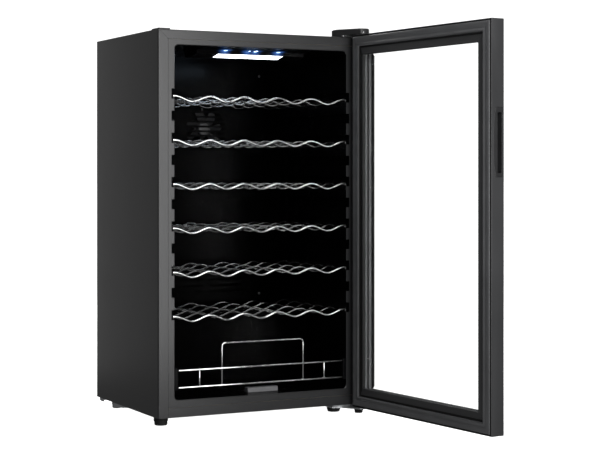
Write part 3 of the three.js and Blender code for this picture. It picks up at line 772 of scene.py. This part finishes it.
def make_guard():
    """Two long wires, with two posts and a loop behind them."""
    y, x, low, high, loop = 3.0, 243.0, 61.0, 96.8, 149.5
    end, post, half_loop, past = 47.5, 147.4, 96.1, 0.4
    behind = y + 3.4
    bm = bmesh.new()
    for z in (low, high):
        tube(bm, [(end, y, z), (MIDDLE, y, z), (W - end, y, z)], 2, 12)
    for dx in (-post, post):
        tube(bm, [(x + dx, behind, low - past), (x + dx, behind, high + past)], 1.9, 12)
    tube(bm, bent([(x - half_loop, behind, low - past), (x - half_loop, behind, loop),
                   (x + half_loop, behind, loop), (x + half_loop, behind, low - past)], 9), 1.9, 12)
    make("guard_wires", bm, "cabinet", [CHROME], ["bottom_guard"], angle=60)


make_guard()


# ---- door ------------------------------------------------------------------------------------
MITRE_SPLIT, MITRE_GAP = 29, 0.17
MEMBER_SMOOTH_BELOW = 28   # degrees, for the frame members


def door_corner(u, sx, sz):
    """(x, z) of the door's corner at an equal inset from both edges."""
    return (u if sx < 0 else W - u), (DOOR_LOW + u if sz < 0 else DOOR_HIGH - u)


def member_profile(width, front):
    """(inset, y, material) round a frame member: a bead that rises to the glass, the groove inside the
    seal, the seal's seat, the step at the outer edge, the rounded front and the glazing channel. Material 1
    is black painted as shade on the grooves, the step, the channel and the wall by the glass; 2 marks the
    bead."""
    return (
        [(width, -9.6, 1), (width, -5.3, 0), (width - 0.8, -4.5, 2), (29.4, -7.0, 1)]
        + [(29.0, -8.3, 1), (25.0, -8.3, 1), (24.6, DOOR_BACK, 0), (4.5, DOOR_BACK, 1)]
        + [(4.2, -7.8, 1), (1.5, -7.8, 1), (1.3, -5.1, 0), (0.8, -4.7, 0), (0.25, -5.1, 0)]
        + [(0.0, -5.9, 0), (0.0, -34.6, 0), (0.2, -35.8, 0), (0.8, -36.6, 0), (1.8, -37.0, 0)]
        + [(2.8, DOOR_FRONT, 0), (front - 0.8, DOOR_FRONT, 0), (front, -36.5, 0), (front, -34.4, 1)]
        + [(23.0, -34.4, 1), (23.0, -9.6, 1)]
    )


def make_member(name, sides, node, bead=0):
    """One mitred frame member; sides are its two corners as (sx, sz) signs, and bead = 1 paints the bead
    black as shade.
    """
    flat = sides[0][1] == sides[1][1]
    profile = member_profile(RAIL, RAIL - 2.5) if flat else member_profile(STILE + 1.1, STILE + 3)
    bm = bmesh.new()
    rows = []
    for sx, sz in sides:
        row = []
        for u, y, _ in profile:
            # The mitre runs at 45 degrees under the seal, and then to the corner of the glass.
            own, other = (RAIL, STILE) if flat else (STILE, RAIL)
            past = (u - MITRE_SPLIT) * (other - MITRE_SPLIT) / (own - MITRE_SPLIT)
            v = MITRE_GAP + (u if u < MITRE_SPLIT else MITRE_SPLIT + past)
            across, up = (v, u) if flat else (u, v)
            x, z = (across if sx < 0 else W - across), (DOOR_LOW + up if sz < 0 else DOOR_HIGH - up)
            row.append(bm.verts.new((x, y, z)))
        rows.append(row)
    a, b = rows
    for i in range(len(profile)):
        j = (i + 1) % len(profile)
        bm.faces.new((a[i], a[j], b[j], b[i])).material_index = {0: 0, 1: 1, 2: bead}[profile[i][2]]
    bm.faces.new(a[::-1])
    bm.faces.new(b)
    return make(name, bm, "door", [FRAME, PAINTED_SHADE_BLACK], [node], place=DOOR_TO_ROW,
                angle=MEMBER_SMOOTH_BELOW)


def cup_outline(grow):
    """(y, z) round the handle cup: straight in front and bowed towards the cabinet."""
    front, rear, bow, middle, half = -32.3, -10.3, 6.2, 569, 68
    points = [(front - grow, middle - half - grow)]
    for i in range(21):
        u = i / 10 - 1
        points.append((rear + grow - bow * u ** 4, middle + u * (half + grow)))
    return points + [(front - grow, middle + half + grow)]


def cut_hole(obj, cutter_bm):
    """Takes a cutter, in row coordinates, out of a frame member's mesh."""
    mesh = bpy.data.meshes.new("cutter")
    cutter_bm.to_mesh(mesh)
    cutter_bm.free()
    for material in obj.data.materials:
        mesh.materials.append(material)
    cutter = bpy.data.objects.new("cutter", mesh)
    bpy.context.scene.collection.objects.link(cutter)
    tool = obj.modifiers.new("Hole", "BOOLEAN")
    tool.object, tool.operation, tool.solver = cutter, "DIFFERENCE", "EXACT"
    depsgraph = bpy.context.evaluated_depsgraph_get()
    obj.data = bpy.data.meshes.new_from_object(obj.evaluated_get(depsgraph))
    obj.modifiers.clear()
    obj.data.set_sharp_from_angle(angle=math.radians(MEMBER_SMOOTH_BELOW))
    bpy.data.objects.remove(cutter)


# The hinge stile's bead is painted black, as shade.
make_member("stile_hinge_profile", [(1, -1), (1, 1)], "door_stile_hinge", bead=1)
make_member("rail_top_profile", [(-1, 1), (1, 1)], "door_rail_top")
make_member("rail_bottom_profile", [(-1, -1), (1, -1)], "door_rail_bottom")
handle_stile = make_member("stile_handle_profile", [(-1, -1), (-1, 1)], "door_stile_handle")
pocket = bmesh.new()
prism(pocket, cup_outline(0.3), "x", -2, 20.3)
bmesh.ops.recalc_face_normals(pocket, faces=pocket.faces)
pocket.transform(DOOR_TO_ROW)
cut_hole(handle_stile, pocket)
refined("handle_cup", [BLACK], 0.7, 3)


def make_gasket():
    """The magnetic door seal: a broad outer lip, a dish and a narrower inner lip."""
    profile = [(4.3, -4.1), (4.3, -3.4), (4.9, -2.7), (6.2, -2.25), (8.5, -2.1), (11.5, -2.2), (13.8, -2.7),
               (15.6, -3.4), (16.6, -3.65), (17.6, -3.55), (18.8, -2.9), (20.0, -2.1), (21.2, -1.65),
               (22.4, -1.6), (23.5, -2.0), (24.6, -3.0), (25.3, -4.1)]
    bm = bmesh.new()
    frame_ring(bm, profile, door_corner)
    make("seal_profile", bm, "door", [SEAL], ["door_gasket"], place=DOOR_TO_ROW, angle=60)


def make_spacer():
    """The bar between the two panes, with a channel sunk in the middle that is painted black as shade."""
    def corner(u, sx, sz):
        x, z = door_corner(u, sx, sz)
        return x, z - sz * (RAIL - STILE)
    inner = STILE - 1.5
    profile = [(inner, -14.2), (inner, -18.8), (inner - 0.9, -19.1), (inner - 0.9, -23.4), (inner, -23.7),
               (inner, -29.8), (31.5, -29.8), (31.5, -14.2)]
    bm = bmesh.new()
    frame_ring(bm, profile, corner, [0, 1, 1, 1, 0, 0, 0, 0])
    make("spacer_bar", bm, "door", [SPACER, PAINTED_SHADE_BLACK], ["glass_spacer"],
         place=DOOR_TO_ROW, angle=40)


make_spacer()
make_gasket()


# ---- lit digits behind the display window ------------------------------------------------------
def make_digits():
    """A generic 12 in seven-bar figures; bars gives each bar's place in half widths and half heights."""
    lit = ((-DIGIT_X, "bc"), (DIGIT_X, "abged"))
    across, tall, thick = 5.6, 8.4, 1.2
    bars = {"a": (0, 1), "g": (0, 0), "d": (0, -1), "f": (-1, 0.5), "b": (1, 0.5), "e": (-1, -0.5),
            "c": (1, -0.5)}
    bm = bmesh.new()
    for centre, shown in lit:
        for bar in shown:
            bx, bz = bars[bar]
            u, t = MIDDLE + centre + bx * across / 2, KEY_T - bz * tall / 2
            flat = bar in "agd"
            du, dt = ((across - thick) / 2, thick / 2) if flat else (thick / 2, (tall / 2 - thick) / 2)
            outline = [(u - du, t - dt), (u + du, t - dt), (u + du, t + dt), (u - du, t + dt)]
            loft(bm, [[on_slope(pu, pt, out) for pu, pt in outline] for out in (-0.15, 0.05)])
    make("display_digits", bm, "cabinet", [DIGIT])


make_digits()


# ---- screws ------------------------------------------------------------------------------------
REAR, DOWN, FORWARD = (0, 1, 0), (0, 0, -1), (0, -1, 0)
back = [(x, z) for x in (14, W - 14) for z in (190, 340, 490, 640, 790)]
back += [(x, 792) for x in (120, MIDDLE, 360)] + [(x, 174) for x in (90, 185, 295, 390)]
screws("back_screws", [((x, D - 0.4, z), REAR) for x, z in back], height=1.2)
screws("duct_screws", [((x, 306, z), FORWARD) for x in (104, 376) for z in (226, 470, 735)], r=3.2,
       material=BLACK)
screws("hinge_cover_screw", [((463.6, -41.5, 814.2), FORWARD)], r=2.6, height=1.0, material=BRIGHT)
screws("lower_hinge_screws", [((x, y, -6.7), DOWN) for x, y in (
    (417.5, 10.5), (420, 60), (452, 24), (470, 50))], r=3.4, height=1.2)
screws("base_screws", [((x, D - 2, -5), REAR) for x in (40, 160, 320, 420)], r=3.0, height=1.2)


# ---- which lights fall on which pieces ---------------------------------------------------------
def keep_lights_to(name, shown, *lights):
    """Makes area lights fall on the listed objects only."""
    group = bpy.data.collections.new(name)
    for obj in shown:
        group.objects.link(obj)
    for light in lights:
        bpy.data.objects[light].light_linking.receiver_collection = group


# The front light is kept off the cavity, so that its glossy walls stay dark behind the shelves.
CAVITY = ("liner_tub", "duct_cover", "control_strip", "key_",
          *(f"shelf_{n}_wires" for n in range(1, SHELVES + 1)))
keep_lights_to("lit_by_front_box", [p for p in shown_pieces() if not p.name.startswith(CAVITY)], "front_box")
# The lights above, at the right and behind leave no reflection on the two glass panes.
opaque = [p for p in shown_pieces() if not p.name.startswith("door_glass")] + [stage_floor]
keep_lights_to("lit_by_other_boxes", opaque, "top_box", "right_box")
# The rear light leaves no glare on the cabinet's top either.
keep_lights_to("lit_by_rear_box", [p for p in opaque if p.name != "outer_shell_skin"], "rear_box")
